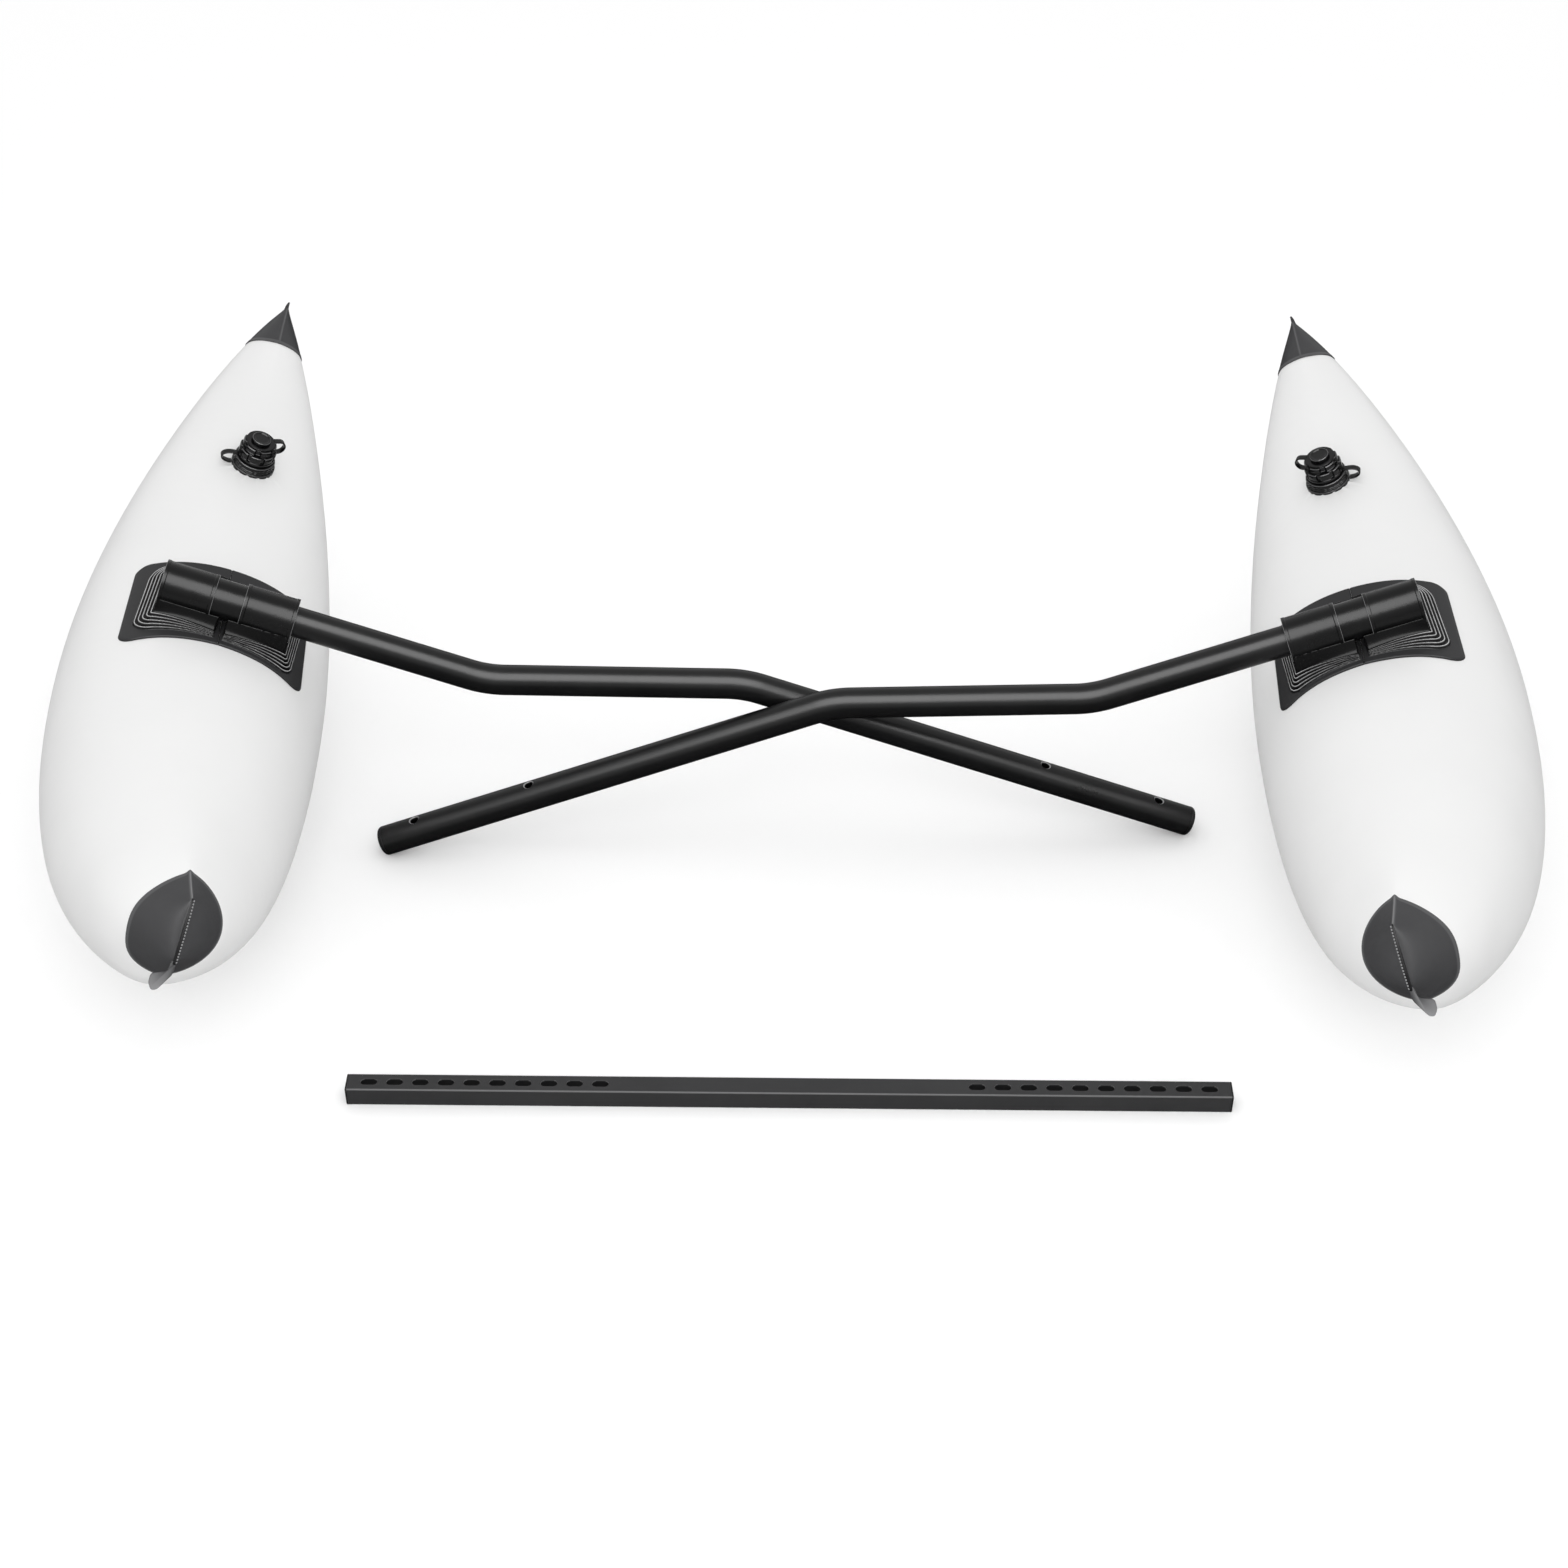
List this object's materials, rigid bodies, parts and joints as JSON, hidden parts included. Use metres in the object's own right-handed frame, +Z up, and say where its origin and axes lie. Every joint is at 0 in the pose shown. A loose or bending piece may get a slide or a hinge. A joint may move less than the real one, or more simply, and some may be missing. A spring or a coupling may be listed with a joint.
{
  "type": "kayak outrigger",
  "caption": "Kayak outrigger kit laid out: inflatable floats in saddle sleeves on crossed bent arm tubes, with a slotted square crossbar.",
  "frame": {"origin": "bottom centre of the whole laid-out kit's bounding box, on the ground", "axes": "+X along the crossbar from the left float to the right float, +Y away from the crossbar towards the far ends of the floats, +Z up"},
  "size_m": [1.4622, 1.0644, 0.3284],
  "materials": {
    "hull_fabric": "smooth coated fabric, soft sheen",
    "grey_fabric": "smooth coated fabric, matt sheen",
    "black_fabric": "heavy coated fabric, ridged welds",
    "black_plastic": "moulded, satin to gloss",
    "arm_tube": "satin black coat",
    "bar_tube": "matt charcoal coat"
  },
  "bodies": {
    "frame": {"crossbar": "bar_tube", "crossbar_left_plug": "black_plastic", "crossbar_right_plug": "black_plastic", "left_arm": "arm_tube", "left_arm_outer_plug": "black_plastic", "left_arm_inner_plug": "black_plastic", "right_arm": "arm_tube", "right_arm_outer_plug": "black_plastic", "right_arm_inner_plug": "black_plastic"},
    "left_liner": {"left_liner": "black_plastic"},
    "left_float": {"left_hull": "hull_fabric", "left_far_cap": "grey_fabric", "left_near_cap": "grey_fabric", "left_far_fin": "grey_fabric", "left_near_fin": "grey_fabric", "left_outer_saddle": "black_fabric", "left_inner_saddle": "black_fabric", "left_outer_sleeve": "black_fabric", "left_inner_sleeve": "black_fabric", "left_valve_base": "black_plastic"},
    "left_body_ring": {"left_body_tether": "black_plastic"},
    "left_valve": {"left_valve_body": "black_plastic", "left_valve_flap": "black_plastic"},
    "left_cap_ring": {"left_cap_tether": "black_plastic"},
    "left_cap": {"left_valve_cap": "black_plastic"},
    "right_liner": {"right_liner": "black_plastic"},
    "right_float": {"right_hull": "hull_fabric", "right_far_cap": "grey_fabric", "right_near_cap": "grey_fabric", "right_far_fin": "grey_fabric", "right_near_fin": "grey_fabric", "right_outer_saddle": "black_fabric", "right_inner_saddle": "black_fabric", "right_outer_sleeve": "black_fabric", "right_inner_sleeve": "black_fabric", "right_valve_base": "black_plastic"},
    "right_body_ring": {"right_body_tether": "black_plastic"},
    "right_valve": {"right_valve_body": "black_plastic", "right_valve_flap": "black_plastic"},
    "right_cap_ring": {"right_cap_tether": "black_plastic"},
    "right_cap": {"right_valve_cap": "black_plastic"}
  },
  "joints": [
    {"name": "left_float_slide", "type": "slide", "parent": "frame", "child": "left_liner", "axis": [0.9374, -0.0252, -0.3474], "range_m": [-0.06, 0.08]},
    {"name": "left_float_swivel", "type": "hinge", "parent": "left_liner", "child": "left_float", "pos_m": [-0.5385, 0.01412, 0.27036], "axis": [0.9374, -0.0252, -0.3474], "continuous": true},
    {"name": "left_valve_lift", "type": "slide", "parent": "left_float", "child": "left_body_ring", "axis": [0.3954, -0.1033, 0.9127], "range_m": [0, 0.0091]},
    {"name": "left_valve_turn", "type": "hinge", "parent": "left_body_ring", "child": "left_valve", "pos_m": [-0.55897, 0.26156, 0.25683], "axis": [0.3954, -0.1033, 0.9127], "range_deg": [0, 1080]},
    {"name": "left_cap_lift", "type": "slide", "parent": "left_valve", "child": "left_cap_ring", "axis": [0.3954, -0.1033, 0.9127], "range_m": [0, 0.0091]},
    {"name": "left_cap_turn", "type": "hinge", "parent": "left_cap_ring", "child": "left_cap", "pos_m": [-0.55897, 0.26156, 0.25683], "axis": [0.3954, -0.1033, 0.9127], "range_deg": [0, 1080]},
    {"name": "right_float_slide", "type": "slide", "parent": "frame", "child": "right_liner", "axis": [-0.9374, -0.0252, -0.3474], "range_m": [-0.06, 0.08]},
    {"name": "right_float_swivel", "type": "hinge", "parent": "right_liner", "child": "right_float", "pos_m": [0.5385, -0.01638, 0.27036], "axis": [-0.9374, -0.0252, -0.3474], "continuous": true},
    {"name": "right_valve_lift", "type": "slide", "parent": "right_float", "child": "right_body_ring", "axis": [-0.3954, -0.1033, 0.9127], "range_m": [0, 0.0091]},
    {"name": "right_valve_turn", "type": "hinge", "parent": "right_body_ring", "child": "right_valve", "pos_m": [0.55897, 0.23106, 0.25683], "axis": [-0.3954, -0.1033, 0.9127], "range_deg": [0, 1080]},
    {"name": "right_cap_lift", "type": "slide", "parent": "right_valve", "child": "right_cap_ring", "axis": [-0.3954, -0.1033, 0.9127], "range_m": [0, 0.0091]},
    {"name": "right_cap_turn", "type": "hinge", "parent": "right_cap_ring", "child": "right_cap", "pos_m": [0.55897, 0.23106, 0.25683], "axis": [-0.3954, -0.1033, 0.9127], "range_deg": [0, 1080]}
  ],
  "couplings": [
    {"joint": "left_valve_lift", "follows": "left_valve_turn", "m_per_rad": 0.00047746},
    {"joint": "left_cap_lift", "follows": "left_cap_turn", "m_per_rad": 0.00047746},
    {"joint": "right_valve_lift", "follows": "right_valve_turn", "m_per_rad": 0.00047746},
    {"joint": "right_cap_lift", "follows": "right_cap_turn", "m_per_rad": 0.00047746}
  ]
}
